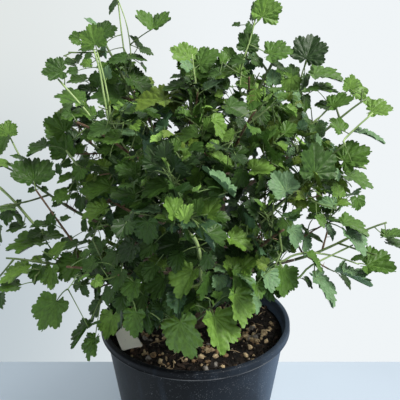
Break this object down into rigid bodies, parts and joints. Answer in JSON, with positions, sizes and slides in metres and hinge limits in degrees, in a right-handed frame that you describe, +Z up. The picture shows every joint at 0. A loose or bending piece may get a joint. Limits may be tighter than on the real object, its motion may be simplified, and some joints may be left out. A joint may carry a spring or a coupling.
{
  "type": "potted gooseberry bush",
  "caption": "Young thorny fruit bush with lobed leaves on arching woody boughs, growing in a round tapered nursery pot.",
  "frame": {"origin": "middle of the pot's flat underside", "axes": "+Z up out of the pot, -Y towards the viewer of the picture, +X to that viewer's right"},
  "size_m": [0.5238, 0.4194, 0.6092],
  "materials": {
    "pot_plastic": "dull black moulded plastic, dusty",
    "potting_soil": "loose dark bark compost with pale grit",
    "label_plastic": "smooth cream plastic, blank",
    "bark": "thin grey-brown bark",
    "leaf_green": "soft satin leaf"
  },
  "bodies": {
    "root": {"bough_back_left": "bark", "bough_back_left_low": "bark", "bough_back_left_top": "bark", "bough_back_middle": "bark", "bough_back_right": "bark", "bough_back_right_low": "bark", "bough_back_right_top": "bark", "bough_core_left": "bark", "bough_core_right": "bark", "bough_front_left": "bark", "bough_front_low": "bark", "bough_front_middle": "bark", "bough_front_right": "bark", "bough_left_high": "bark", "bough_left_low": "bark", "bough_left_mid": "bark", "bough_right_high": "bark", "bough_right_low": "bark", "bough_right_mid": "bark", "bough_top_left": "bark", "bough_top_middle": "bark", "bough_top_right": "bark", "foliage_back_left": "leaf_green", "foliage_back_left_low": "leaf_green", "foliage_back_left_top": "leaf_green", "foliage_back_middle": "leaf_green", "foliage_back_right": "leaf_green", "foliage_back_right_low": "leaf_green", "foliage_back_right_top": "leaf_green", "foliage_core_left": "leaf_green", "foliage_core_right": "leaf_green", "foliage_front_left": "leaf_green", "foliage_front_low": "leaf_green", "foliage_front_middle": "leaf_green", "foliage_front_right": "leaf_green", "foliage_left_high": "leaf_green", "foliage_left_low": "leaf_green", "foliage_left_mid": "leaf_green", "foliage_right_high": "leaf_green", "foliage_right_low": "leaf_green", "foliage_right_mid": "leaf_green", "foliage_top_left": "leaf_green", "foliage_top_middle": "leaf_green", "foliage_top_right": "leaf_green", "label": "label_plastic", "pot": "pot_plastic", "soil": "potting_soil", "stem": "bark"}
  },
  "joints": []
}
